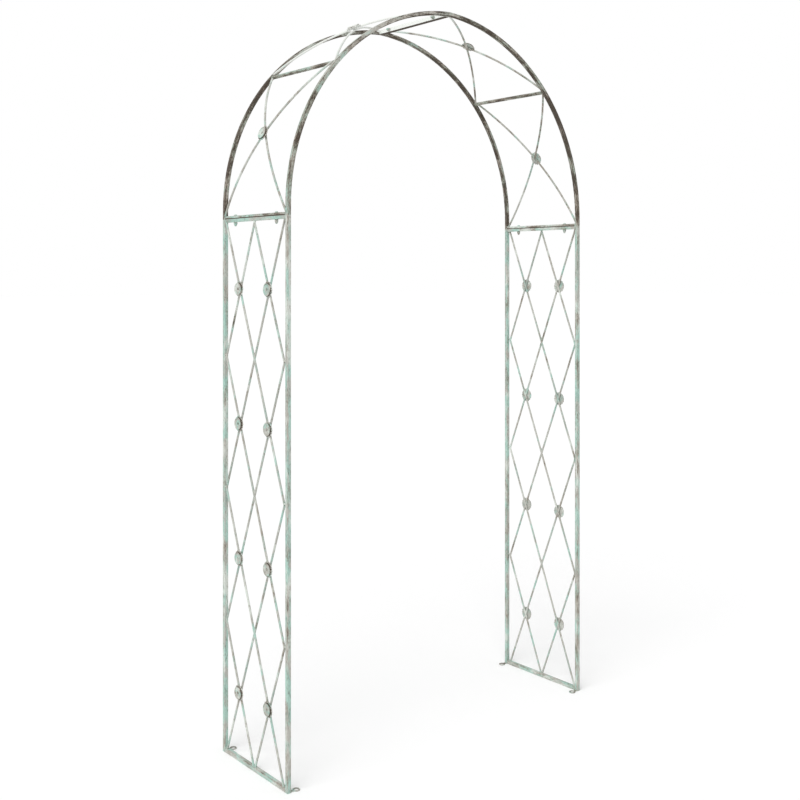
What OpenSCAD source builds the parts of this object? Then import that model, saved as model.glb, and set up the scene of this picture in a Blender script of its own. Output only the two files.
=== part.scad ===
// Metal trellis arch: two lattice side panels and two quarter-circle arch halves,
// bolted together at the springing line and at the crown.
// The left side is modelled; the right side is the same piece turned half a turn.

/* [Overall size] */
// Width between the centre planes of the two side panels
arch_w = 1214; // [900:1:1600]
// Depth between the centre lines of the front and back tubes
arch_d = 352; // [240:1:480]
// Height of a side panel, from the ground to the bolted joint
panel_h = 1640; // [1200:1:2000]
// Straight tail at the foot of each hoop, above the joint
hoop_tail = 26; // [16:1:90]
// How far the hoops' bend radius passes half the width, which lifts the crown to a shallow point
crown_lift = 27; // [2:1:120]
// How far the middle rail sits below the middle of the hoop's bend, measured along the tube
mid_drop = 12; // [0:1:60]

/* [Tubes and bars] */
// Side of the square frame tube
tube = 12.7; // [10.5:0.1:20]
// Outside corner radius of the frame tube
tube_corner = 1.8; // [0.8:0.1:3]
// Wall of the square tubes
tube_wall = 1.2; // [0.8:0.1:2]
// Width of the flat joint bars, across the faces that bolt together
flange_w = 12.7; // [10:0.1:18]
// Thickness of the flat joint bars
flange_t = 9.5; // [5:0.1:14]
// Side of the square rail halfway up each arch half
mid_rail = 9.5; // [8:0.1:14]
// Diameter of the round lattice and brace rods
rod_d = 6.4; // [5.6:0.1:9]
// How far each brace bulges past the hoops at its middle
brace_bulge = 4.5; // [0:0.5:12]
// Depth that the lattice rods are let into each other where they cross
rod_sink = 4.2; // [2:0.1:4.4]
// Gap from the tube's inner face to a lattice vertex
vertex_inset = 7.2; // [5:0.1:14]
// Radius of a vertex's weld bead where it meets the tube
bead_r = 4.4; // [3.6:0.1:6]

/* [Rosettes] */
// Distance from the centre to the middle of a petal's tip
petal_ring = 20.4; // [14:0.1:30]
// Radius of a petal's tip
petal_r = 3.8; // [3:0.1:6]
// Number of petals
petal_count = 16; // [12:1:24]
// Thickness of the petal disc
petal_t = 1.6; // [1:0.1:3]
// Radius of the dished cap over the petals
cap_r = 19.4; // [12:0.1:26]
// Height of the cap's rim
cap_h = 4.6; // [3:0.1:9]
// Depth of the dish in the cap's face
cap_dish = 1.3; // [0.4:0.1:2]
// Radius of the rivet head in the cap
rivet_r = 2.4; // [1.5:0.1:4]

/* [Bolted joints] */
// Thread diameter of the bolts
bolt_d = 6; // [4:0.5:7]
// Clearance on the diameter of the bolt holes
hole_clear = 0.6; // [0.3:0.1:1.2]
// Clearance on the diameter between nut and thread
thread_clear = 0.1; // [0.05:0.05:0.3]
// Distance from a tube's centre line to the bolt beside it
bolt_inset = 61; // [30:1:90]
// Diameter of the domed bolt head
head_d = 11; // [9:0.5:16]
// Height of the domed bolt head
head_h = 4.4; // [3:0.1:8]
// Width across flats of the key socket in the bolt head
socket_af = 4; // [2:0.5:5]
// Width across flats of the cap nut
nut_af = 10; // [10:0.5:14]
// Height of the cap nut's hexagon
nut_h = 5.5; // [3:0.1:8]
// Height of the dome that closes the cap nut
nut_dome = 7.5; // [6:0.5:10]
// Length of thread inside the dome
bolt_end = 3; // [1:0.5:3]

/* [Ground eyelets] */
// Outside diameter of the eye
eye_od = 22; // [18:0.5:30]
// Hole through the eye for a ground stake
eye_hole = 14; // [8:0.5:14]
// Thickness of the eye
eye_t = 3; // [2:0.5:8]
// Reach of the eye from the tube's centre line
eye_reach = 38; // [34:0.5:60]
// Width of the neck between the tube and the eye
neck_w = 8; // [6:0.5:12]

/* [Hidden] */
$fn = 48;
big = 4000;
row_count = 4;                                    // diamonds up each panel
rods_a_layer = row_count + 1;
face_y = (arch_d - tube) / 2;                     // inner faces of the front and back tubes
bolt_y = arch_d / 2 - bolt_inset;
hole_d = bolt_d + hole_clear;

// Lattice lines run from the middle of the bottom rail to the underside of the top flange
vertex_y = face_y - vertex_inset;
lattice_z0 = tube / 2;
row_h = (panel_h - flange_t - lattice_z0) / row_count;
rod_lean = atan(vertex_y / row_h);

// Each hoop is one arc that stops short of a full quarter turn where it meets its twin
hoop_r = arch_w / 2 + crown_lift;
hoop_angle = acos(crown_lift / hoop_r);
spring_z = panel_h + hoop_tail;
crown_z = spring_z + hoop_r * sin(hoop_angle);
foot_angle = -asin((hoop_tail - flange_t / 2) / hoop_r);
mid_angle = hoop_angle / 2 - mid_drop / hoop_r * 180 / PI;

// A bay of braces reaches from one cross rail to the next
BAY_NAMES = ["lower", "upper"];
BAY_START = [foot_angle, mid_angle];
BAY_END = [mid_angle, hoop_angle];

LEFT = -1;
RIGHT = 1;
FRONT = -1;
BACK = 1;
SIDES = [LEFT, RIGHT];
ENDS = [FRONT, BACK];
INNER = 0;
OUTER = 1;
LAYERS = [INNER, OUTER];

function side_name(side) = side == LEFT ? "left" : "right";
function end_name(end) = end == FRONT ? "front" : "back";
function layer_name(layer) = layer == INNER ? "inner" : "outer";
function corner_name(side, end, piece) = str(side_name(side), "_", end_name(end), "_", piece);
function rod_name(side, layer, i) = str(side_name(side), "_", layer_name(layer), "_rod_", i);
function brace_name(side, bay, layer) =
    str(side_name(side), "_", BAY_NAMES[bay], "_", layer_name(layer), "_brace");

CORNER_PIECES = ["upright", "hoop", "ground_eye"];
SIDE_PIECES = [
    "bottom_rail", "top_flange", "spring_flange", "mid_rail", "crown_flange",
    "lattice_welds", "rosette_petals", "rosette_caps"
];

// A point on the left half's curved surface, at an angle above the springing line
function on_arch(angle, radius, y) = [
    hoop_r - arch_w / 2 - radius * cos(angle),
    y,
    spring_z + radius * sin(angle)
];
function brace_lean(layer) = layer == OUTER ? 1 : -1;
function rod_way(layer) = layer == OUTER ? -1 : 1;
// Where a layer's centre plane lies, outward from the middle of the tubes
function layer_out(layer) = rod_d / 2 - rod_way(layer) * (rod_d - rod_sink) / 2;
function bay_middle(bay) = (BAY_START[bay] + BAY_END[bay]) / 2;

module on_side(side) {
    rotate([0, 0, side == LEFT ? 0 : 180]) children();
}

module at_corner(side, end, z = 0) {
    on_side(side) translate([-arch_w / 2, -side * end * arch_d / 2, z]) children();
}

module rounded_square(size, corner) {
    square([size, size - 2 * corner], center = true);
    square([size - 2 * corner, size], center = true);
    for (x = [-1, 1], y = [-1, 1])
        translate([x, y] * (size / 2 - corner)) circle(r = corner);
}

module tube_section(size, corner) {
    difference() {
        rounded_square(size, corner);
        rounded_square(size - 2 * tube_wall, max(corner - tube_wall, 0.3));
    }
}

// Side panels

module upright(side, end) {
    color("#a9bfb2") at_corner(side, end)
        linear_extrude(panel_h) tube_section(tube, tube_corner);
}

module bottom_rail(side) {
    color("#a9bfb2") on_side(side) translate([-arch_w / 2, 0, tube / 2])
        rotate([90, 0, 0]) linear_extrude(2 * face_y, center = true) tube_section(tube, tube_corner);
}

// A flat bar between the front and back tubes, lying on z = 0, with a bolt hole near each end
module flange_bar() {
    difference() {
        translate([-flange_w / 2, -face_y, 0]) cube([flange_w, 2 * face_y, flange_t]);
        for (end = ENDS)
            translate([0, end * bolt_y, -1]) cylinder(d = hole_d, h = flange_t + 2);
    }
}

module top_flange(side) {
    color("#b9c6bc") on_side(side)
        translate([-arch_w / 2, 0, panel_h - flange_t]) flange_bar();
}

// The opening that the lattice fills, with no limit across the panel's thickness
module panel_opening() {
    translate([-big / 2, -face_y, tube]) cube([big, 2 * face_y, panel_h - flange_t - tube]);
}

// Rod i of a layer climbs two rows from one upright to the other; the first and last are cut
// short by the rails
module lattice_bar(layer, i) {
    row = i - 2;
    start = max(0, -row / 2);
    stop = min(1, (row_count - row) / 2);
    way = rod_way(layer);
    run = 2 * (stop - start) * norm([vertex_y, row_h]);
    translate([
        -arch_w / 2 - layer_out(layer),
        way * vertex_y * (1 - 2 * start),
        lattice_z0 + (row + 2 * start) * row_h
    ])
        rotate([way * rod_lean, 0, 0])
        translate([0, 0, -rod_d / 2]) cylinder(d = rod_d, h = run + rod_d);
}

// The outer rods are notched to saddle over the inner ones
module lattice_rod_shape(layer, i) {
    difference() {
        intersection() {
            lattice_bar(layer, i);
            panel_opening();
        }
        if (layer == OUTER)
            for (k = [1:rods_a_layer]) lattice_bar(INNER, k);
    }
}

module lattice_rod(side, layer, i) {
    color("#b7c8bd") on_side(side) lattice_rod_shape(layer, i);
}

// Each bead narrows from the upright to the rods at its vertex, and stops just short of the
// point where they touch
module lattice_welds(side) {
    bead_l = vertex_inset - rod_d / 4;
    color("#9fb3a6") on_side(side) difference() {
        for (end = ENDS, row = [1:row_count - 1])
            translate([-arch_w / 2 - rod_d / 2, end * face_y, lattice_z0 + row * row_h])
                rotate([end * 90, 0, 0]) cylinder(r1 = bead_r, r2 = rod_d / 2, h = bead_l);
        for (end = ENDS, row = [1:row_count - 1], layer = LAYERS)
            translate([-arch_w / 2 - layer_out(layer), end * vertex_y, lattice_z0 + row * row_h])
                rotate([rod_way(layer) * rod_lean, 0, 0])
                cylinder(d = rod_d, h = 6 * rod_d, center = true);
    }
}

// Arch halves

module hoop(side, end) {
    color("#9fb0a4") at_corner(side, end, panel_h) intersection() {
        union() {
            linear_extrude(hoop_tail) tube_section(tube, tube_corner);
            translate([hoop_r, 0, hoop_tail]) rotate([90, 0, 180])
                rotate_extrude(angle = hoop_angle + 1, $fn = 180)
                translate([hoop_r, 0]) tube_section(tube, tube_corner);
        }
        translate([arch_w / 2 - big, -tube, 0]) cube([big, 2 * tube, big]);
    }
}

module spring_flange(side) {
    color("#8f8273") on_side(side) translate([-arch_w / 2, 0, panel_h]) flange_bar();
}

module mid_rail_place() {
    translate(on_arch(mid_angle, hoop_r, 0)) rotate([0, mid_angle, 0]) children();
}

module mid_rail_bar(side) {
    color("#8f8273") on_side(side) mid_rail_place()
        rotate([90, 0, 0]) linear_extrude(2 * face_y, center = true)
        tube_section(mid_rail, tube_corner);
}

module crown_flange(side) {
    color("#c6d2c9") on_side(side) translate([0, 0, crown_z]) rotate([0, -90, 0]) flange_bar();
}

// A brace is bent to one radius in one leaning plane, through the bay's two far corners
// and the middle of its curved surface
module brace(side, bay, layer) {
    lean = brace_lean(layer);
    radius = hoop_r + layer * rod_d;
    low = on_arch(BAY_START[bay], radius, lean * face_y);
    high = on_arch(BAY_END[bay], radius, -lean * face_y);
    middle = on_arch(bay_middle(bay), radius + brace_bulge, 0);
    chord = norm(high - low);
    rise = norm(middle - (low + high) / 2);
    bend_r = (chord * chord / 4 + rise * rise) / (2 * rise);
    along = (high - low) / chord;
    out = (middle - (low + high) / 2) / rise;
    across = cross(out, along);
    centre = middle - bend_r * out;
    sweep = 2 * asin(chord / 2 / bend_r);
    color("#b7c8bd") on_side(side) difference() {
        multmatrix([
            [out.x, along.x, across.x, centre.x],
            [out.y, along.y, across.y, centre.y],
            [out.z, along.z, across.z, centre.z]
        ])
            rotate([0, 0, -sweep / 2]) rotate_extrude(angle = sweep, $fn = 180)
            translate([bend_r, 0]) circle(d = rod_d, $fn = 32);
        for (end = ENDS)
            translate([0, end * (face_y + big / 2), 0]) cube(big, center = true);
        translate([-big / 2, 0, panel_h + flange_t - big / 2]) cube(big, center = true);
        translate([big / 2 - flange_t, 0, panel_h]) cube(big, center = true);
        mid_rail_place() cube([10 * mid_rail, 2 * arch_d, mid_rail], center = true);
    }
}

// Rosettes

module petal_disc() {
    linear_extrude(petal_t) {
        circle(r = petal_ring);
        for (k = [1:petal_count])
            rotate(k * 360 / petal_count) translate([petal_ring, 0]) circle(r = petal_r, $fn = 24);
    }
}

// A dished button with a rounded rim and a low rivet head in the middle
module cap() {
    rim_r = cap_h / 3;
    translate([0, 0, petal_t]) rotate_extrude()
        polygon(concat(
            [[0, 0], [cap_r, 0]],
            [for (a = [0:18:180])
                [cap_r - rim_r + rim_r * cos(a), cap_h - rim_r + rim_r * sin(a)]],
            [[cap_r - 3 * rim_r, cap_h - cap_dish]],
            [[rivet_r + 0.6, cap_h - cap_dish], [rivet_r, cap_h - cap_dish / 2]],
            [[rivet_r / 2, cap_h - cap_dish / 3], [0, cap_h - cap_dish / 4]]
        ));
}

// Rosettes sit on the outer rods, one over each crossing beside the panel's middle
module at_panel_crossings(side) {
    on_side(side)
        for (end = ENDS, row = [0:row_count - 1])
            translate([
                -arch_w / 2 - layer_out(OUTER) - rod_d / 2,
                end * vertex_y / 2,
                lattice_z0 + (row + 0.5) * row_h
            ])
                rotate([0, -90, 0]) children();
}

module at_arch_crossings() {
    for (side = SIDES, bay = [0, 1])
        on_side(side) translate(on_arch(bay_middle(bay), hoop_r + brace_bulge + 1.5 * rod_d, 0))
            rotate([0, bay_middle(bay) - 90, 0]) children();
}

module panel_petals(side) {
    color("#9db5a6") at_panel_crossings(side) petal_disc();
}

module panel_caps(side) {
    color("#c3d3c8") at_panel_crossings(side) cap();
}

// Bolted joints: the spring joints are drawn up from above, the crown joint from the right

module at_bolts() {
    for (side = SIDES, end = ENDS)
        translate([side * arch_w / 2, end * bolt_y, panel_h]) children();
    for (end = ENDS)
        translate([0, end * bolt_y, crown_z]) rotate([0, 90, 0]) children();
}

module joint_bolts() {
    color("#8d9a90") at_bolts() {
        difference() {
            union() {
                translate([0, 0, flange_t]) rotate_extrude()
                    polygon(concat([[0, 0]], [for (a = [0:15:90]) [head_d / 2 * cos(a), head_h * sin(a)]]));
                translate([0, 0, -flange_t - nut_h - bolt_end])
                    cylinder(d = bolt_d, h = 2 * flange_t + nut_h + bolt_end);
            }
            translate([0, 0, flange_t + head_h / 2])
                cylinder(d = socket_af / cos(30), h = head_h, $fn = 6);
        }
    }
}

// Cap nuts, each a hexagon closed by a dome
module joint_nuts() {
    dome_r = 0.48 * nut_af;
    color("#8d9a90") at_bolts() translate([0, 0, -flange_t]) rotate([180, 0, 0]) difference() {
        union() {
            cylinder(d = nut_af / cos(30), h = nut_h, $fn = 6);
            translate([0, 0, nut_h]) rotate_extrude()
                polygon(concat(
                    [[0, 0]],
                    [for (a = [0:10:90]) [dome_r * cos(a), nut_dome * sin(a)]]
                ));
        }
        translate([0, 0, -1]) cylinder(d = bolt_d + thread_clear, h = nut_h + bolt_end + 1.5);
    }
}

// Ground eyelets: a flat eye on a short neck, level with the ground inside each upright

module ground_eye(side, end) {
    eye_x = eye_reach - eye_od / 2;
    color("#a9bfb2") at_corner(side, end) difference() {
        union() {
            translate([eye_x, 0, 0]) cylinder(d = eye_od, h = eye_t);
            translate([tube / 2, -neck_w / 2, 0]) cube([eye_x - tube / 2, neck_w, eye_t]);
        }
        translate([eye_x, 0, -1]) cylinder(d = eye_hole, h = eye_t + 2);
    }
}

module corner_piece(side, end, piece) {
    if (piece == "upright") upright(side, end);
    if (piece == "hoop") hoop(side, end);
    if (piece == "ground_eye") ground_eye(side, end);
}

module side_piece(side, piece) {
    if (piece == "bottom_rail") bottom_rail(side);
    if (piece == "top_flange") top_flange(side);
    if (piece == "spring_flange") spring_flange(side);
    if (piece == "mid_rail") mid_rail_bar(side);
    if (piece == "crown_flange") crown_flange(side);
    if (piece == "lattice_welds") lattice_welds(side);
    if (piece == "rosette_petals") panel_petals(side);
    if (piece == "rosette_caps") panel_caps(side);
}

for (side = SIDES, end = ENDS, piece = CORNER_PIECES)
    corner_piece(side, end, piece);
for (side = SIDES, piece = SIDE_PIECES)
    side_piece(side, piece);
for (side = SIDES, layer = LAYERS, i = [1:rods_a_layer])
    lattice_rod(side, layer, i);
for (side = SIDES, bay = [0, 1], layer = LAYERS)
    brace(side, bay, layer);
color("#9db5a6") at_arch_crossings() petal_disc();  // arch_rosette_petals
color("#c3d3c8") at_arch_crossings() cap();  // arch_rosette_caps
joint_bolts();
joint_nuts();
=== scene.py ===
import math

import bmesh
import bpy
import numpy as np
from mathutils import Matrix, Vector


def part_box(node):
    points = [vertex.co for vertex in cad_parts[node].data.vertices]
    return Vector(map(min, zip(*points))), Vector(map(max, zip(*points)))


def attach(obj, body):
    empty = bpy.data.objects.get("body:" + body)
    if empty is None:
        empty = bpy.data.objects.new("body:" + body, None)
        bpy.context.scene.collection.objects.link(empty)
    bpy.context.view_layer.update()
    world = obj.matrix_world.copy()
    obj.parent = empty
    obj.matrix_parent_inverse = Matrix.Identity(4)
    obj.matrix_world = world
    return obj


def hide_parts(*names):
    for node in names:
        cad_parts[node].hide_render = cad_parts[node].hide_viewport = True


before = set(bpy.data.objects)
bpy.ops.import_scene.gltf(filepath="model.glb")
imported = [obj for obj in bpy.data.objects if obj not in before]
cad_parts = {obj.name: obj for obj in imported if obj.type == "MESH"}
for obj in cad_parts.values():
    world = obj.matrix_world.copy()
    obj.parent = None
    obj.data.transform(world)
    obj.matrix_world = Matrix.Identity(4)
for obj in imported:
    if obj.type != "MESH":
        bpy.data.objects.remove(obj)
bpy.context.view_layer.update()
print("frame:", len(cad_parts), "nodes")

millimetre = 0.001


def paint(red, green, blue):
    # a screen colour, 0 to 255, as the shader's own linear colour
    def linear(value):
        value /= 255
        return value / 12.92 if value <= 0.04045 else ((value + 0.055) / 1.055) ** 2.4
    return (linear(red), linear(green), linear(blue), 1)


# the camera comes first, so that a bad frame shows early

view = {
    "place": (-2.319, -2.799, 1.478),
    "heading": 38.95,  # degrees from +Y towards +X
    "lens": 49.4,
    "lift": -0.1598,
}

camera = bpy.data.objects.new("camera", bpy.data.cameras.new("camera"))
bpy.context.scene.collection.objects.link(camera)
camera.location = view["place"]
camera.rotation_euler = (math.radians(90), 0, -math.radians(view["heading"]))
camera.data.lens = view["lens"]
camera.data.sensor_width = 36
camera.data.shift_y = view["lift"]
camera.data.clip_end = 200
bpy.context.scene.camera = camera
print("camera set")


class Wire:
    # one output socket; sums on it add Math nodes to its tree
    def __init__(self, kit, socket):
        self.kit = kit
        self.socket = socket

    def maths(self, operation, *others):
        return self.kit.maths(operation, self, *others)

    def __add__(self, other):
        return self.maths("ADD", other)

    def __sub__(self, other):
        return self.maths("SUBTRACT", other)

    def __mul__(self, other):
        return self.maths("MULTIPLY", other)

    def __truediv__(self, other):
        return self.maths("DIVIDE", other)

    def __pow__(self, other):
        return self.maths("POWER", other)

    def __neg__(self):
        return self.maths("MULTIPLY", -1)

    def __abs__(self):
        return self.maths("ABSOLUTE")

    def __rsub__(self, other):
        return self.kit.maths("SUBTRACT", other, self)

    __radd__ = __add__
    __rmul__ = __mul__

    def atMost(self, other):
        return self.maths("MINIMUM", other)

    def rising(self, low, high):
        # 0 below low, 1 above high, smooth between
        return self.kit.node("ShaderNodeMapRange", {"interpolation_type": "SMOOTHSTEP"},
                             {"Value": self, "From Min": low, "From Max": high})

    def output(self, name):
        return Wire(self.kit, self.socket.node.outputs[name])


class NodeKit:
    def __init__(self, tree):
        self.tree = tree
        tree.nodes.clear()

    def node(self, kind, settings=None, values=None, output=0):
        made = self.tree.nodes.new(kind)
        for key, value in (settings or {}).items():
            setattr(made, key, value)
        for key, value in (values or {}).items():
            if isinstance(value, Wire):
                self.tree.links.new(value.socket, made.inputs[key])
            else:
                made.inputs[key].default_value = value
        return Wire(self, made.outputs[output]) if len(made.outputs) else made

    def maths(self, operation, *values):
        return self.node("ShaderNodeMath", {"operation": operation}, dict(enumerate(values)))

    def blend(self, factor, first, second):
        return self.node("ShaderNodeMix", {"data_type": "RGBA"}, {0: factor, 6: first, 7: second}, 2)

    def point(self, x, y, z):
        return self.node("ShaderNodeCombineXYZ", {}, {0: x, 1: y, 2: z})

    def noise(self, place, scale, detail=3.0, roughness=0.55, distortion=0.0):
        return self.node("ShaderNodeTexNoise", {}, {
            "Vector": place, "Scale": scale, "Detail": detail,
            "Roughness": roughness, "Distortion": distortion})


# chalky verdigris paint over dark brown, worn thin in patches and on corners
verdigris = {
    "mint": paint(165, 197, 186),
    "deepMint": paint(128, 166, 156),
    "chalk": paint(209, 214, 207),
    "ash": paint(178, 178, 171),
    "white": paint(236, 238, 234),
    "tan": paint(158, 145, 130),
    "umber": paint(112, 99, 86),
    "brown": paint(60, 48, 39),
}


def weathered(kit, place, look):
    # place is in metres, drawn out along the member; look["extra"] carries painted shade on undersides, in
    # hollows and at bar joints as well as real wear, and shows as more brown
    away = kit.node("ShaderNodeVectorMath", {"operation": "ADD"}, {0: place, 1: (3.7, 1.9, 5.3)})
    broad = kit.noise(place, look["broad"], 3, 0.6, 0.3)
    patch = kit.noise(place, look["patch"], 4, 0.58, 0.5)
    drift = kit.noise(away, look["patch"] * 0.8, 3, 0.55, 0.4)
    tint = kit.noise(away, look["broad"] * 1.7, 3, 0.6, 0.6)
    grain = kit.noise(place, look["patch"] * 9, 4, 0.65)
    speck = kit.noise(away, look["patch"] * 30, 2, 0.6)
    # wear and painted shade together: the noise is paint wear, and look["extra"] adds painted shade where
    # faces look down, in hollows and at bar joints
    wearAndShade = ((broad - 0.5) * 0.8 + (patch - 0.5) * 0.95 + (grain - 0.5) * 0.4 + (speck - 0.5) * 0.12
            + look["extra"])
    flake = kit.noise(place, look["patch"] * 4, 5, 0.72, 0.3)
    thinAndShaded = wearAndShade.rising(look["edge"] - 0.16, look["edge"] + 0.12)
    bareAndShaded = wearAndShade.rising(look["edge"] + 0.03, look["edge"] + 0.24)
    greyer = drift.rising(0.42 - look["grey"], 0.60 - look["grey"])
    colour = kit.blend(greyer, verdigris["mint"], verdigris["ash"])
    colour = kit.blend(tint.rising(0.50, 0.66) * 0.85, colour, verdigris["chalk"])
    deeper = (1 - tint).rising(0.52, 0.68) * grain.rising(0.35, 0.62)
    colour = kit.blend(deeper * 0.8, colour, verdigris["deepMint"])
    colour = kit.blend(speck.rising(0.56, 0.74) * 0.30, colour, verdigris["tan"])
    colour = kit.blend(grain.rising(0.58, 0.74) * 0.35, colour, verdigris["deepMint"])
    colour = kit.blend(flake.rising(0.53, 0.64) * look["flakes"], colour, verdigris["umber"])
    colour = kit.blend(grain.rising(0.59, 0.66) * look["flakes"] * 0.7, colour, verdigris["umber"])
    colour = kit.blend((1 - flake).rising(0.56, 0.68) * 0.35, colour, verdigris["chalk"])
    primer = kit.blend(grain.rising(0.42, 0.60), verdigris["tan"], verdigris["umber"])
    colour = kit.blend(thinAndShaded * 0.72, colour, primer)
    colour = kit.blend(bareAndShaded * look["dark"], colour, verdigris["brown"])
    colour = kit.blend(flake.rising(0.60, 0.70) * look["flakes"], colour, verdigris["brown"])
    # painted highlight: lightened towards white near the crown on the left half, where the key light glares
    colour = kit.blend(look["paintedHighlight"] * (1 - bareAndShaded), colour, verdigris["white"])
    height = (1 - bareAndShaded) * 0.8 + grain * 0.5 + speck * 0.35
    bump = kit.node("ShaderNodeBump", {}, {"Strength": 0.5, "Distance": look["depth"], "Height": height})
    rough = 0.62 + bareAndShaded * 0.2 + grain * 0.12
    shader = kit.node("ShaderNodeBsdfPrincipled", {}, {
        "Base Color": colour, "Roughness": rough, "Metallic": bareAndShaded * 0.2,
        "Normal": bump, "IOR": 1.45, "Specular IOR Level": 0.3})
    kit.node("ShaderNodeOutputMaterial", {}, {"Surface": shader})


arch = {
    "halfWidth": abs(sum(p.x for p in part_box("left_front_upright")) / 2),
    "halfDepth": abs(sum(p.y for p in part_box("left_front_upright")) / 2),
    "tube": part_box("left_front_upright")[1].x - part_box("left_front_upright")[0].x,
    "joint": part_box("left_spring_flange")[0].z,
    "crown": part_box("left_crown_flange")[0].z,
    "spring": 1.666,  # height of the hoops' centres
    "offset": 0.027,  # how far each hoop's centre lies past the middle
    "radius": 0.634,
}


def paintedMetal(name, run, edge=0.2, dark=0.6, patch=17.0, broad=5.5, stretch=3.0, section=None,
                 undersideShade=0.08, depth=0.0003, hollow=0.0, seam=None, grey=0.0, flakes=0.42, paintedHighlight=0.0):
    # run is the way the member goes: "z", "y" or "hoop"; section says where its middle line is, for worn
    # corners; seam is the height of a lower edge darkened with brown and painted shade where the bar meets
    # the next;
    # the underside weight is painted shade on faces that look down; the hollow weight is rust and painted
    # shade in a mesh's marked hollows; the crown weight is a painted highlight, lightening the left half near
    # the crown towards white
    material = bpy.data.materials.new(name)
    material.use_nodes = True
    kit = NodeKit(material.node_tree)
    coordinates = kit.node("ShaderNodeTexCoord").output("Object")
    split = kit.node("ShaderNodeSeparateXYZ", {}, {0: coordinates})
    x, y, z = (split.output(n) for n in ("X", "Y", "Z"))
    outward, up = abs(x) + arch["offset"], z - arch["spring"]
    radial = (outward * outward + up * up) ** 0.5
    around = up.maths("ARCTAN2", outward) * arch["radius"] + x.maths("GREATER_THAN", 0) * 4.3
    if run == "hoop":
        place = kit.point(radial * stretch, y * stretch, around)
    elif run == "y":
        place = kit.point(x * stretch, y, z * stretch)
    else:
        place = kit.point(x * stretch, y * stretch, z)
    half = arch["tube"] / 2
    normal = kit.node("ShaderNodeSeparateXYZ", {}, {0: kit.node("ShaderNodeNewGeometry").output("Normal")})
    # painted shade: faces that look down are darkened towards brown
    extra = (-normal.output("Z")).rising(0.2, 0.9) * undersideShade
    if section:
        first = radial - arch["radius"] if section == "hoop" else abs(x) - arch["halfWidth"]
        second = z - half if section == "rail" else abs(y) - arch["halfDepth"]
        extra = extra + abs(first).atMost(abs(second)).rising(half * 0.6, half * 0.9) * 0.13
    # rust and painted shade: the mesh's marked hollows are darkened
    if hollow:
        extra = extra + kit.node("ShaderNodeAttribute", {"attribute_name": "hollow"}).output("Fac") * hollow
    # painted shade with brown: the bar's lowest few millimetres, where it meets the next bar, are darkened
    if seam:
        extra = extra + (seam + 0.0042 - z).rising(0, 0.0022) * 0.5
    # painted highlight: near the crown the left half is lightened towards white, where the key light from the
    # upper left glares
    highlightMask = z.rising(1.98, 2.24) * (0.12 - x).rising(0, 0.12) * paintedHighlight
    extra = extra + x.rising(-0.3, 0.3) * 0.05
    weathered(kit, place, {"edge": edge, "dark": dark, "patch": patch, "broad": broad, "depth": depth,
                           "extra": extra, "grey": grey, "flakes": flakes, "paintedHighlight": highlightMask})
    return material


finishes = {
    "post": paintedMetal("uprightPaint", "z", edge=0.17, section="post"),
    "rail": paintedMetal("railPaint", "y", edge=0.13, section="rail"),
    "hoop": paintedMetal("hoopPaint", "hoop", edge=-0.07, dark=0.85, section="hoop", flakes=0.9, paintedHighlight=0.2),
    "springBar": paintedMetal("springBarPaint", "y", edge=0.06, dark=0.8, seam=arch["joint"], flakes=0.6),
    "topBar": paintedMetal("topBarPaint", "y", edge=0.24),
    "crownBar": paintedMetal("crownBarPaint", "y", edge=0.42, dark=0.9, undersideShade=0.6, paintedHighlight=0.9,
                             seam=arch["crown"] - 0.0022),
    "midRail": paintedMetal("midRailPaint", "y", edge=-0.02, dark=0.7, flakes=0.6),
    "rod": paintedMetal("rodPaint", "z", edge=0.17, patch=22, stretch=2.2, depth=0.0002, grey=0.08),
    "brace": paintedMetal("bracePaint", "hoop", edge=0.13, patch=22, stretch=2.2, depth=0.0002, grey=0.08,
                          paintedHighlight=0.8),
    "petal": paintedMetal("petalPaint", "z", edge=0.26, patch=50, broad=20, stretch=1.0, hollow=0.3,
                          depth=0.0002, grey=0.12, paintedHighlight=0.6),
    "cap": paintedMetal("capPaint", "z", edge=0.29, dark=0.9, patch=50, broad=20, stretch=1.0, hollow=0.62,
                        depth=0.0002, grey=0.05, paintedHighlight=0.7),
    "fastener": paintedMetal("fastenerPaint", "z", edge=0.16, patch=90, broad=40, stretch=1.0, hollow=0.2,
                             depth=0.0001),
    "bead": paintedMetal("beadPaint", "z", edge=0.10, patch=70, broad=20, stretch=1.0, undersideShade=0.3,
                         depth=0.0002),
    "eye": paintedMetal("eyePaint", "z", edge=0.10, patch=60, broad=20, stretch=1.0, hollow=0.25, undersideShade=0.2,
                        depth=0.0002),
}
print("finishes:", len(finishes))

coats = {
    "upright": "post", "bottom_rail": "rail", "hoop": "hoop", "spring_flange": "springBar",
    "top_flange": "topBar", "crown_flange": "crownBar", "mid_rail": "midRail", "brace": "brace",
    "rod": "rod",
}
for nodeName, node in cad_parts.items():
    for ending, finish in coats.items():
        if ending in nodeName:
            for slot in node.material_slots:
                slot.material = finishes[finish]
            break


def solidsOf(nodeName):
    # the points of each separate solid of a CAD node
    work = bmesh.new()
    work.from_mesh(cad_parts[nodeName].data)
    bmesh.ops.remove_doubles(work, verts=work.verts, dist=1e-6)
    waiting, solids = set(work.verts), []
    while waiting:
        front = [waiting.pop()]
        island = list(front)
        while front:
            for edge in front.pop().link_edges:
                for vert in edge.verts:
                    if vert in waiting:
                        waiting.discard(vert)
                        front.append(vert)
                        island.append(vert)
        solids.append(np.array([v.co for v in island]))
    work.free()
    return sorted(solids, key=lambda s: tuple(s.mean(0).round(4)))


def axisOf(points, longest):
    middle = (points.min(0) + points.max(0)) / 2
    spread = np.linalg.svd(points - points.mean(0), full_matrices=False)[2]
    axis = Vector(spread[0] if longest else spread[2]).normalized()
    return Vector(middle), axis


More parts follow.
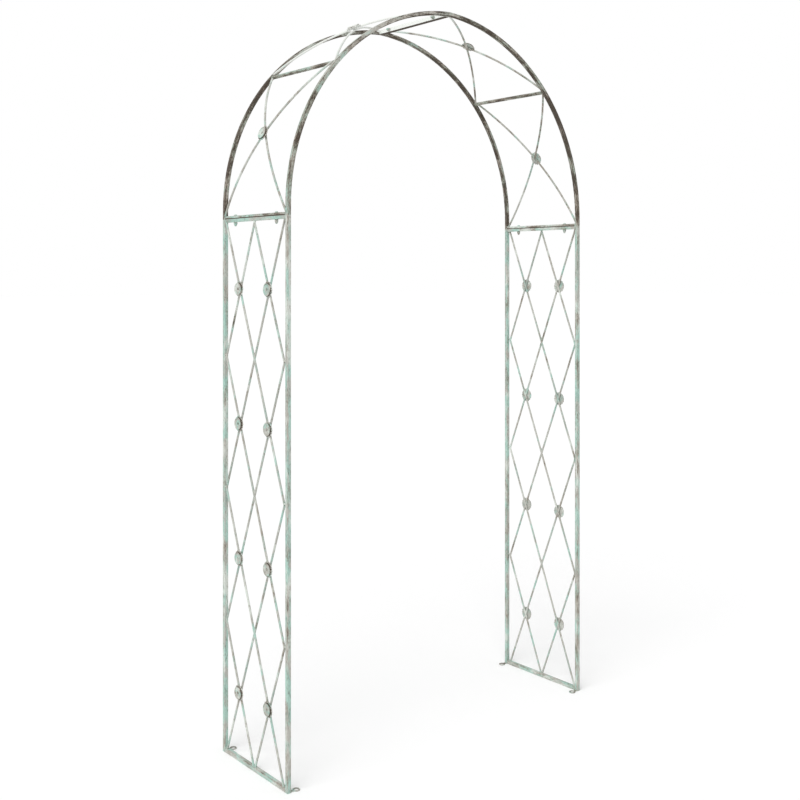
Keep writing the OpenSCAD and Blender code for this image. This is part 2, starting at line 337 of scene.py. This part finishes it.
def loft(name, loops, ring=False):
    # skins a row of closed loops; each loop is its points and a weight for the rust and painted shade that
    # the material puts in hollows; ring joins the last to the first
    work = bmesh.new()
    hollowRustAndShadeValues, rows = [], []
    for points, hollow in loops:
        rows.append([work.verts.new(p) for p in points])
        hollowRustAndShadeValues += [hollow] * len(points)
    count = len(rows[0])
    pairs = list(zip(rows, rows[1:])) + ([(rows[-1], rows[0])] if ring else [])
    for low, high in pairs:
        for k in range(count):
            n = (k + 1) % count
            work.faces.new((low[k], low[n], high[n], high[k]))
    if not ring:
        for row, (points, hollow), flip in ((rows[0], loops[0], True), (rows[-1], loops[-1], False)):
            middle = work.verts.new(sum((Vector(p) for p in points), Vector()) / count)
            hollowRustAndShadeValues.append(hollow)
            for k in range(count):
                corners = (row[k], row[(k + 1) % count], middle)
                work.faces.new(corners[::-1] if flip else corners)
    bmesh.ops.recalc_face_normals(work, faces=work.faces)
    mesh = bpy.data.meshes.new(name)
    work.to_mesh(mesh)
    work.free()
    mesh.attributes.new("hollow", "FLOAT", "POINT").data.foreach_set("value", hollowRustAndShadeValues)
    mesh.shade_smooth()
    mesh.set_sharp_from_angle(angle=math.radians(38))
    return mesh


def turned(profile, steps):
    # loops for a lathe shape from rows of radius, height and the weight of rust and painted shade in hollows
    angles = [2 * math.pi * k / steps for k in range(steps)]
    return [([(r * math.cos(a), r * math.sin(a), h) for a in angles], hollow) for r, h, hollow in profile]


def newObject(name, mesh):
    made = bpy.data.objects.new(name, mesh)
    bpy.context.scene.collection.objects.link(made)
    return made


def places(name, rows):
    # a cloud of points that carry the way their copies face
    mesh = bpy.data.meshes.new(name)
    mesh.from_pydata([p for p, way in rows], [], [])
    facing = mesh.attributes.new("facing", "FLOAT_VECTOR", "POINT")
    facing.data.foreach_set("vector", [c for p, way in rows for c in way])
    return newObject(name, mesh)


def wires(name, paths):
    mesh = bpy.data.meshes.new(name)
    points, edges = [], []
    for path, closed in paths:
        start = len(points)
        points += path
        edges += [(start + k, start + k + 1) for k in range(len(path) - 1)]
        if closed:
            edges.append((start + len(path) - 1, start))
    mesh.from_pydata(points, edges, [])
    return newObject(name, mesh)


def newTree(name, inputs):
    tree = bpy.data.node_groups.new(name, "GeometryNodeTree")
    tree.is_modifier = True
    tree.interface.new_socket("Geometry", in_out="INPUT", socket_type="NodeSocketGeometry")
    for label, kind in inputs.items():
        tree.interface.new_socket(label, in_out="INPUT", socket_type="NodeSocket" + kind)
    tree.interface.new_socket("Geometry", in_out="OUTPUT", socket_type="NodeSocketGeometry")
    kit = NodeKit(tree)
    return kit, kit.node("NodeGroupInput")


def closeTree(kit, copies, material):
    solid = kit.node("GeometryNodeRealizeInstances", {}, {0: copies})
    coated = kit.node("GeometryNodeSetMaterial", {}, {"Geometry": solid, "Material": material})
    kit.node("NodeGroupOutput", {}, {0: coated})
    return kit.tree


def grow(carrier, tree, values):
    # runs the tree on the carrier and leaves a plain mesh
    modifier = carrier.modifiers.new("grow", "NODES")
    modifier.node_group = tree
    sockets = {s.name: s.identifier for s in tree.interface.items_tree if s.in_out == "INPUT"}
    for label, value in values.items():
        modifier[sockets[label]] = value
    carrier.update_tag()
    bpy.context.view_layer.update()
    evaluated = carrier.evaluated_get(bpy.context.evaluated_depsgraph_get())
    mesh = bpy.data.meshes.new_from_object(evaluated)
    carrier.modifiers.remove(modifier)
    old, carrier.data = carrier.data, mesh
    bpy.data.meshes.remove(old)
    return carrier


def copiesTree():
    # copies of one piece, each facing its own way
    kit, entry = newTree("copies", {
        "Piece": "Object", "Spin": "Float", "Spin Seed": "Int", "Material": "Material"})
    piece = kit.node("GeometryNodeObjectInfo", {}, {"Object": entry.output("Piece")}).output("Geometry")
    facing = kit.node("GeometryNodeInputNamedAttribute", {"data_type": "FLOAT_VECTOR"}, {"Name": "facing"})
    turn = kit.node("FunctionNodeAlignRotationToVector", {"axis": "Z"}, {"Vector": facing})
    spin = kit.node("FunctionNodeRandomValue", {"data_type": "FLOAT"},
                    {2: 0.0, 3: entry.output("Spin"), "Seed": entry.output("Spin Seed")}, 1)
    ownTurn = kit.node("FunctionNodeRotateRotation", {"rotation_space": "LOCAL"},
                       {0: turn, 1: kit.point(0.0, 0.0, spin)})
    copies = kit.node("GeometryNodeInstanceOnPoints", {},
                      {"Points": entry.output("Geometry"), "Instance": piece, "Rotation": ownTurn})
    return closeTree(kit, copies, entry.output("Material"))


def flowerTree():
    # a ring of petals on a thin back plate, copied to every rosette
    kit, entry = newTree("flower", {
        "Petal": "Object", "Petal Count": "Int", "Plate Radius": "Float", "Plate Thickness": "Float",
        "Material": "Material"})
    petal = kit.node("GeometryNodeObjectInfo", {}, {"Object": entry.output("Petal")}).output("Geometry")
    count = entry.output("Petal Count")
    row = kit.node("GeometryNodeMeshLine", {}, {"Count": count, "Offset": (0.0, 0.0, 0.0)})
    step = kit.node("GeometryNodeInputIndex") * (2 * math.pi) / count
    ring = kit.node("GeometryNodeInstanceOnPoints", {},
                    {"Points": row, "Instance": petal, "Rotation": kit.point(0.0, 0.0, step)})
    plate = kit.node("GeometryNodeMeshCylinder", {}, {
        "Vertices": 40, "Radius": entry.output("Plate Radius"), "Depth": entry.output("Plate Thickness")})
    plate = kit.node("GeometryNodeTransform", {}, {
        "Geometry": plate, "Translation": kit.point(0.0, 0.0, entry.output("Plate Thickness") * 0.5)})
    depth = kit.node("ShaderNodeSeparateXYZ", {}, {0: kit.node("GeometryNodeInputPosition")}).output("Z")
    # painted shade: the plate is marked as a hollow, darker towards its top face under the petals
    plate = kit.node("GeometryNodeStoreNamedAttribute", {"data_type": "FLOAT", "domain": "POINT"}, {
        "Geometry": plate, "Name": "hollow", "Value": depth / entry.output("Plate Thickness")})
    flower = kit.node("GeometryNodeJoinGeometry")
    for part in (plate, ring):
        kit.tree.links.new(part.socket, flower.socket.node.inputs[0])
    facing = kit.node("GeometryNodeInputNamedAttribute", {"data_type": "FLOAT_VECTOR"}, {"Name": "facing"})
    turn = kit.node("FunctionNodeAlignRotationToVector", {"axis": "Z"}, {"Vector": facing})
    copies = kit.node("GeometryNodeInstanceOnPoints", {},
                      {"Points": entry.output("Geometry"), "Instance": flower, "Rotation": turn})
    return closeTree(kit, copies, entry.output("Material"))


def seamTree():
    # a weld: overlapping drops of metal along a path
    kit, entry = newTree("seam", {
        "Spacing": "Float", "Drop Radius": "Float", "Unevenness": "Float", "Sides": "Int", "Seed": "Int",
        "Material": "Material"})
    path = kit.node("GeometryNodeMeshToCurve", {}, {0: entry.output("Geometry")})
    points = kit.node("GeometryNodeResampleCurve", {"mode": "LENGTH"},
                      {"Curve": path, "Length": entry.output("Spacing")})
    drop = kit.node("GeometryNodeMeshUVSphere", {}, {
        "Segments": entry.output("Sides"), "Rings": entry.output("Sides") * 0.62, "Radius": 1.0})
    smooth = kit.node("GeometryNodeSetShadeSmooth", {}, {"Geometry": drop})
    size = entry.output("Drop Radius")
    least = kit.node("ShaderNodeVectorMath", {"operation": "SCALE"}, {
        0: kit.point(1.0, 1.0, 1.0), "Scale": size * (1 - entry.output("Unevenness"))})
    most = kit.node("ShaderNodeVectorMath", {"operation": "SCALE"}, {
        0: kit.point(1.0, 1.0, 1.0), "Scale": size * (1 + entry.output("Unevenness"))})
    scale = kit.node("FunctionNodeRandomValue", {"data_type": "FLOAT_VECTOR"},
                     {0: least, 1: most, "Seed": entry.output("Seed")})
    turn = kit.node("FunctionNodeRandomValue", {"data_type": "FLOAT_VECTOR"},
                    {0: (-3.0, -3.0, -3.0), 1: (3.0, 3.0, 3.0), "Seed": entry.output("Seed") + 7})
    copies = kit.node("GeometryNodeInstanceOnPoints", {},
                      {"Points": points, "Instance": smooth, "Rotation": turn, "Scale": scale})
    return closeTree(kit, copies, entry.output("Material"))


trees = {"copies": copiesTree(), "flower": flowerTree(), "seam": seamTree()}
print("trees:", ", ".join(trees))


def settle(piece, slotName, *nodes):
    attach(piece, "root")
    if nodes:
        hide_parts(*nodes)
    print("piece:", piece.name, len(piece.data.polygons), "faces")


def spare(name, mesh):
    # a pattern that the trees copy; it is removed once they have run
    made = newObject(name, mesh)
    spares.append(made)
    return made


spares = []


rosette = {
    "petals": 16,
    "petalTip": 24.2,
    "petalRoot": 9.0,
    "petalHalfWidth": 3.25,
    "petalHeight": 2.3,
    "plateRadius": 22.3,
    "plateThickness": 0.6,
    "capRadius": 19.4,
    "capFoot": 1.6,
    "capRim": 4.6,
    "dish": 1.5,
    "rivet": 2.6,
}


def petalMesh():
    r, steps, rows = rosette, 14, 9
    loops = []
    for i in range(rows):
        t = i / (rows - 1)
        along = r["petalRoot"] + (r["petalTip"] - r["petalRoot"]) * t
        room = math.tan(math.pi / r["petals"]) * along * 0.86
        swell = math.sqrt(max(0.0, 1 - max(0.0, (t - 0.74) / 0.26) ** 2))
        half = max(0.35, min(room, r["petalHalfWidth"]) * swell)
        arched = 0.55 + 0.45 * math.sin(math.pi * min(1, t * 1.12) * 0.9)
        top = r["petalHeight"] * arched * (0.35 + 0.65 * swell)
        points = []
        for k in range(steps):
            a = 2 * math.pi * k / steps
            lift = max(0.0, math.sin(a)) ** 0.7 * top
            groove = 0.24 * top * math.exp(-(math.cos(a) / 0.28) ** 2) if math.sin(a) > 0 else 0
            level = max(lift - groove, 0) + 0.3
            points.append((along * millimetre, half * math.cos(a) * millimetre, level * millimetre))
        # the second value weights rust and painted shade: most at the petal's root, and again towards its
        # rounded tip
        loops.append((points, 0.15 + 0.7 * (1 - swell * 0.6) if t > 0.8 else 0.75 - 0.5 * t))
    return loft("petal", loops)


def capMesh():
    r = rosette
    foot, rim, out = r["capFoot"], r["capFoot"] + r["capRim"], r["capRadius"]
    floor = rim - r["dish"]
    # columns: radius, height and the weight of rust and painted shade, most in the rivet's groove and dimple
    # and at the rim's foot
    rows = [
        (0.6, foot, 0.9), (out - 1.6, foot, 0.9), (out - 0.5, foot + 0.2, 0.9), (out - 0.05, foot + 0.8, 0.8),
        (out, foot + 1.6, 0.8), (out - 0.1, rim - 1.5, 0.8), (out - 0.45, rim - 0.7, 0.7),
        (out - 1.0, rim - 0.2, 0.4), (out - 1.7, rim, 0.1), (out - 2.4, rim - 0.15, 0.05),
        (out - 3.0, rim - 0.55, 0.3), (out - 3.5, rim - 0.95, 0.4), (out - 4.3, floor + 0.25, 0.2),
        (out - 6.5, floor + 0.05, 0.0), (out - 9.5, floor, 0.0), (6.2, floor + 0.08, 0.0),
        (4.0, floor + 0.1, 0.1), (3.3, floor - 0.15, 0.7), (2.8, floor - 0.35, 1.0),
        (r["rivet"], floor - 0.1, 0.9),
        (2.2, floor + 0.75, 0.4), (1.6, floor + 1.05, 0.3), (0.9, floor + 1.1, 0.7), (0.5, floor + 0.6, 1.0),
    ]
    return loft("cap", turned([(a * millimetre, h * millimetre, d) for a, h, d in rows], 56))


def rosettePlaces(nodeName):
    # the middle of each rosette's back, and the way it faces
    rows = []
    for solid in solidsOf(nodeName):
        middle, axis = axisOf(solid, longest=False)
        outward = middle - Vector((0, 0, 1.5))
        outward.y = 0
        if middle.z < arch["joint"]:
            axis = Vector((math.copysign(1, middle.x), 0, 0))
        elif axis.dot(outward) < 0:
            axis = -axis
        depth = [(Vector(p) - middle).dot(axis) for p in solid]
        rows.append((middle + axis * min(depth), axis))
    return rows


petalPattern = spare("petalPattern", petalMesh())
capPattern = spare("capPattern", capMesh())
for side in ("left", "right", "arch"):
    spots = rosettePlaces(side + "_rosette_petals")
    piece = grow(places(side + "RosettePetals", spots), trees["flower"], {
        "Petal": petalPattern, "Petal Count": rosette["petals"],
        "Plate Radius": rosette["plateRadius"] * millimetre,
        "Plate Thickness": rosette["plateThickness"] * millimetre, "Material": finishes["petal"]})
    settle(piece, "rosette", side + "_rosette_petals")
    piece = grow(places(side + "RosetteCaps", spots), trees["copies"], {
        "Piece": capPattern, "Spin": 6.28, "Spin Seed": 4, "Material": finishes["cap"]})
    settle(piece, "rosette", side + "_rosette_caps")


bolt = {
    "head": 11.0,
    "headHeight": 4.4,
    "socket": 4.0,
    "socketDepth": 2.2,
    "shank": 5.6,
    "nut": 10.0,
    "nutHeight": 5.5,
    "dome": 7.5,
    "domeRadius": 4.8,
}


def hexRadius(flats, angle):
    turn = (angle + math.pi / 6) % (math.pi / 3) - math.pi / 6
    return flats / 2 / math.cos(turn)


def boltMesh(reach):
    # stands on the joint's upper face, head up; reach is how far the shank goes down
    b, steps = bolt, 48
    angles = [2 * math.pi * k / steps for k in range(steps)]

    def hexLoop(flats, height, hollow):
        wide = [hexRadius(flats, a) for a in angles]
        return ([(r * math.cos(a) * millimetre, r * math.sin(a) * millimetre, height * millimetre)
                 for r, a in zip(wide, angles)], hollow)

    floor = b["headHeight"] - b["socketDepth"]
    # the last value of each loop weights rust and painted shade: most in the socket, under the head and down
    # the shank
    loops = [hexLoop(b["socket"] * 0.6, floor - 0.2, 1.0), hexLoop(b["socket"], floor, 1.0),
             hexLoop(b["socket"], b["headHeight"] - 0.25, 0.8),
             hexLoop(b["socket"] + 0.5, b["headHeight"] + 0.02, 0.2)]
    dome = []
    for k in range(9):
        a = math.radians(84 - k * 9.5)
        level = 0.25 + (b["headHeight"] - 0.25) * math.sin(a)
        dome.append((b["head"] / 2 * math.cos(a) ** 0.72, level, 0.1 + k * 0.04))
    dome = [row for row in dome if row[0] > b["socket"] * 0.62 + 0.3]
    rim, shank = b["head"] / 2, b["shank"] / 2
    dome += [(rim, 0.2, 0.7), (rim - 0.2, 0, 1.0), (shank + 0.2, 0, 1.0), (shank, -0.3, 1.0),
             (shank, -reach + 0.9, 0.6), (shank - 0.2, -reach + 0.4, 0.4), (shank - 0.9, -reach, 0.3)]
    loops += turned([(r * millimetre, h * millimetre, d) for r, h, d in dome], steps)
    return loft("bolt", loops)


def nutMesh():
    # stands on z = 0 and is closed by a dome; the hexagon's corners are rounded off at both ends
    b, steps = bolt, 48
    height, out = b["nutHeight"], b["domeRadius"]
    # the last value of each row weights rust and painted shade: most at the foot, least on the dome
    rows = [(0.6, 0.0, 0.9), (4.5, 0.0, 0.9), (None, 0, 0.5), (None, 1, 0.2), (out + 0.1, height, 0.7)]
    for degrees in range(0, 86, 10):
        a = math.radians(degrees)
        rows.append((out * math.cos(a), height + 0.1 + (b["dome"] - 0.1) * math.sin(a), 0.5 - degrees / 200))
    loops = []
    for radius, level, hollow in rows:
        points = []
        for k in range(steps):
            a = 2 * math.pi * k / steps
            wide, high = radius, level
            if radius is None:
                wide = hexRadius(b["nut"], a)
                drop = max(0.0, wide - 4.85) * 0.55 + 0.08
                high = height - drop if level else drop
            points.append(tuple(c * millimetre for c in (wide * math.cos(a), wide * math.sin(a), high)))
        loops.append((points, hollow))
    return loft("nut", loops)


def joined(name, meshes):
    # one mesh from several, each with its own place
    work = bmesh.new()
    for mesh, matrix in meshes:
        copy = mesh.copy()
        copy.transform(matrix)
        work.from_mesh(copy)
        bpy.data.meshes.remove(copy)
    mesh = bpy.data.meshes.new(name)
    work.to_mesh(mesh)
    work.free()
    return mesh


boltSpots = []
for solid in solidsOf("joint_bolts"):
    middle, axis = axisOf(solid, longest=True)
    axis = Vector((0, 0, 1)) if abs(axis.z) > 0.7 else Vector((1, 0, 0))
    depth = [(Vector(p) - middle).dot(axis) for p in solid]
    top = middle + axis * (max(depth) - bolt["headHeight"] * millimetre)
    boltSpots.append((top, axis, max(depth) - min(depth) - bolt["headHeight"] * millimetre))
boltPattern = spare("boltPattern", boltMesh(boltSpots[0][2] / millimetre))
piece = grow(places("jointBolts", [(top, axis) for top, axis, length in boltSpots]), trees["copies"], {
    "Piece": boltPattern, "Spin": 1.0, "Spin Seed": 3, "Material": finishes["fastener"]})
settle(piece, "fastener", "joint_bolts")

# the nuts hang below the lower bar of each joint, two bars' thickness under the bolt's head
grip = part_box("left_spring_flange")[1].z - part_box("left_top_flange")[0].z
nutSpots = [(top - axis * grip, -axis) for top, axis, length in boltSpots]
nutPattern = spare("nutPattern", nutMesh())
piece = grow(places("jointNuts", nutSpots), trees["copies"], {
    "Piece": nutPattern, "Spin": 1.0, "Spin Seed": 9, "Material": finishes["fastener"]})
settle(piece, "fastener", "joint_nuts")


eye = {
    "outer": 11.0,
    "hole": 7.0,
    "thickness": 3.0,
    "rounding": 1.1,
    "neck": 4.0,
}


def eyeMesh(reach):
    # lies flat with its hole at the origin and its neck along -X
    e, steps = eye, 120
    neckEnd, ringMeet = math.atan2(e["neck"], reach), math.asin(e["neck"] / e["outer"])
    blendEnd = ringMeet + math.radians(16)

    def edge(angle):
        off = abs(angle % (2 * math.pi) - math.pi)
        if off < neckEnd:
            return reach / math.cos(off)
        if off < ringMeet:
            return e["neck"] / math.sin(off)
        if off < blendEnd:
            t = (off - ringMeet) / (blendEnd - ringMeet)
            return e["outer"] + 0.9 * (1 - t) ** 2
        return e["outer"]

    rounding, high = e["rounding"], e["thickness"]
    stations = []
    for degrees in (180, 150, 120, 90):
        a = math.radians(degrees)
        stations.append(("hole", rounding + rounding * math.cos(a), high - rounding + rounding * math.sin(a)))
    for degrees in (90, 60, 30, 0):
        a = math.radians(degrees)
        stations.append(("edge", rounding - rounding * math.cos(a), high - rounding + rounding * math.sin(a)))
    stations += [("edge", s[1], high - s[2]) for s in reversed(stations[4:])]
    stations += [("hole", s[1], high - s[2]) for s in reversed(stations[:4])]
    loops = []
    for kind, inset, level in stations:
        points = []
        for k in range(steps):
            # crowd the samples where the neck's corners are
            a = math.pi + math.copysign(abs(2 * k / steps - 1) ** 1.6 * math.pi, 2 * k / steps - 1)
            radius = e["hole"] + inset if kind == "hole" else edge(a) - inset
            points.append(tuple(c * millimetre for c in (radius * math.cos(a), radius * math.sin(a), level)))
        # rust and painted shade: the hole's wall is weighted more than the outer edge
        loops.append((points, 0.8 if kind == "hole" else 0.2))
    return loft("eye", loops, ring=True)


eyeNodes = [f"{side}_{end}_ground_eye" for side in ("left", "right") for end in ("front", "back")]
eyeParts = []
for nodeName in eyeNodes:
    low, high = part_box(nodeName)
    sign = 1 if low.x < 0 else -1
    tip = high.x if sign > 0 else low.x
    face = low.x if sign > 0 else high.x
    centre = tip - sign * eye["outer"] * millimetre
    turn = Matrix.Identity(4) if sign > 0 else Matrix.Rotation(math.pi, 4, "Z")
    place = Matrix.Translation((centre, (low.y + high.y) / 2, 0)) @ turn
    eyeParts.append((place, abs(centre - face) / millimetre))
eyeOutline = eyeMesh(eyeParts[0][1] + 0.4)
piece = newObject("groundEyes", joined("groundEyes", [(eyeOutline, matrix) for matrix, reach in eyeParts]))
piece.data.materials.append(finishes["eye"])
settle(piece, "frame_tube", *eyeNodes)


weld = {
    "drop": 1.35,
    "spacing": 1.5,
    "unevenness": 0.22,
    "vertexDrop": 3.0,
    "vertexSpacing": 1.5,
    "vertexUnevenness": 0.16,
    "webStart": 6.0,
    "webEnd": 12.5,
    "webDrop": 2.0,
    "webSpacing": 1.1,
    "webUnevenness": 0.14,
    "seed": 11,
}

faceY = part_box("left_bottom_rail")[1].y
halfTube = arch["tube"] / 2


def collar(centre, across, up, halfAcross, halfUp, corner=0.0012):
    # a closed path round the end of a square bar
    path = []
    for sx, sy, start in ((1, 1, 0), (-1, 1, 90), (-1, -1, 180), (1, -1, 270)):
        for step in (0, 45, 90):
            a = math.radians(start + step)
            path.append(centre + across * (sx * (halfAcross - corner) + corner * math.cos(a))
                        + up * (sy * (halfUp - corner) + corner * math.sin(a)))
            path[-1].z = max(path[-1].z, 0.0018)  # clear of the ground
    return path, True


def barCollars(nodeName, tilt=0.0):
    # both ends of a bar that runs between the front and back tubes
    low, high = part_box(nodeName)
    centre, size = (low + high) / 2, high - low
    across, up = Vector((math.cos(tilt), 0, math.sin(tilt))), Vector((-math.sin(tilt), 0, math.cos(tilt)))
    if tilt:
        width = height = size.x / (abs(math.cos(tilt)) + abs(math.sin(tilt)))
    else:
        width, height = size.x, size.z
    return [collar(Vector((centre.x, end * faceY, centre.z)), across, up, width / 2, height / 2)
            for end in (-1, 1)]


paths = []
for side, sign in (("left", -1), ("right", 1)):
    for bar in ("bottom_rail", "top_flange", "spring_flange", "crown_flange"):
        paths += barCollars(f"{side}_{bar}")
    low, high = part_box(f"{side}_mid_rail")
    middle = (low + high) / 2
    paths += barCollars(f"{side}_mid_rail", math.atan2(middle.z - arch["spring"],
                        sign * (abs(middle.x) + arch["offset"])))
for nodeName in eyeNodes:
    low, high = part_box(nodeName)
    face = low.x if low.x < 0 else high.x
    y, sign = (low.y + high.y) / 2, 1 if low.x < 0 else -1
    neck, top = eye["neck"] * millimetre, eye["thickness"] * millimetre
    paths.append(([Vector((face + sign * 0.0004, y + side * neck, level))
                   for side, level in ((-1, 0.0018), (-1, top), (1, top), (1, 0.0018))], False))
piece = grow(wires("seamWelds", paths), trees["seam"], {
    "Spacing": weld["spacing"] * millimetre, "Drop Radius": weld["drop"] * millimetre,
    "Unevenness": weld["unevenness"], "Sides": 8, "Seed": weld["seed"], "Material": finishes["bead"]})
settle(piece, "lattice_rod")

# the lattice's vertices are welded to the uprights, and its crossings in the narrow gaps above and below
rowHeight = (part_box("left_top_flange")[0].z - arch["tube"] / 2) / 4
for side, sign in (("left", -1), ("right", 1)):
    paths = []
    for solid in solidsOf(side + "_lattice_welds"):
        low, high = solid.min(0), solid.max(0)
        centre = (low + high) / 2
        inward = -math.copysign(1, centre[1])
        start = Vector((centre[0], math.copysign(faceY, centre[1]) + inward * 0.001, centre[2]))
        paths.append(([start, start + Vector((0, inward * 0.0056, 0))], False))
    piece = grow(wires(side + "VertexWelds", paths), trees["seam"], {
        "Spacing": weld["vertexSpacing"] * millimetre, "Drop Radius": weld["vertexDrop"] * millimetre,
        "Unevenness": weld["vertexUnevenness"], "Sides": 16, "Seed": weld["seed"] + 5,
        "Material": finishes["bead"]})
    settle(piece, "lattice_rod", side + "_lattice_welds")
    outside = abs(sum(p.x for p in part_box(side + "_lattice_welds")) / 2)
    paths = []
    for row in (1, 2, 3):
        middle = Vector((sign * outside, 0, halfTube + row * rowHeight))
        for way in (-1, 1):
            web = [middle + Vector((0, 0, way * weld[n] * millimetre)) for n in ("webStart", "webEnd")]
            paths.append((web, False))
    piece = grow(wires(side + "CrossingWelds", paths), trees["seam"], {
        "Spacing": weld["webSpacing"] * millimetre, "Drop Radius": weld["webDrop"] * millimetre,
        "Unevenness": weld["webUnevenness"], "Sides": 14, "Seed": weld["seed"] + 9,
        "Material": finishes["bead"]})
    settle(piece, "lattice_rod")

for pattern in spares:
    bpy.data.objects.remove(pattern)


studio = {
    "backdrop": 1.0,
    "sky": 0.60,
    "key": 2.0,
    "keyFrom": (-0.62, -0.30, 0.72),
    "softness": 45,  # degrees
}

world = bpy.data.worlds.new("studio")
bpy.context.scene.world = world
world.use_nodes = True
sky = NodeKit(world.node_tree)
straightOn = sky.node("ShaderNodeLightPath").output("Is Camera Ray")
backdrop = sky.node("ShaderNodeBackground", {}, {
    "Color": (1, 1, 1, 1), "Strength": straightOn * (studio["backdrop"] - studio["sky"]) + studio["sky"]})
sky.node("ShaderNodeOutputWorld", {}, {"Surface": backdrop})

floorMaterial = bpy.data.materials.new("floorWhite")
floorMaterial.use_nodes = True
kit = NodeKit(floorMaterial.node_tree)
dust = kit.noise(kit.node("ShaderNodeTexCoord").output("Object"), 0.8, 2)
tone = kit.blend(dust, (0.95, 0.95, 0.95, 1), (0.97, 0.97, 0.97, 1))
kit.node("ShaderNodeOutputMaterial", {}, {"Surface": kit.node("ShaderNodeBsdfDiffuse", {}, {"Color": tone})})
floor = newObject("floor", bpy.data.meshes.new("floor"))
floor.data.from_pydata([(-60, -60, 0), (60, -60, 0), (60, 60, 0), (-60, 60, 0)], [], [(0, 1, 2, 3)])
floor.data.materials.append(floorMaterial)


key = bpy.data.lights.new("keyLight", "SUN")
key.energy, key.angle = studio["key"], math.radians(studio["softness"])
keyLight = newObject("keyLight", key)
keyLight.rotation_euler = Vector(studio["keyFrom"]).to_track_quat("Z", "Y").to_euler()
bpy.context.scene.view_settings.view_transform = "Standard"
print("studio set")
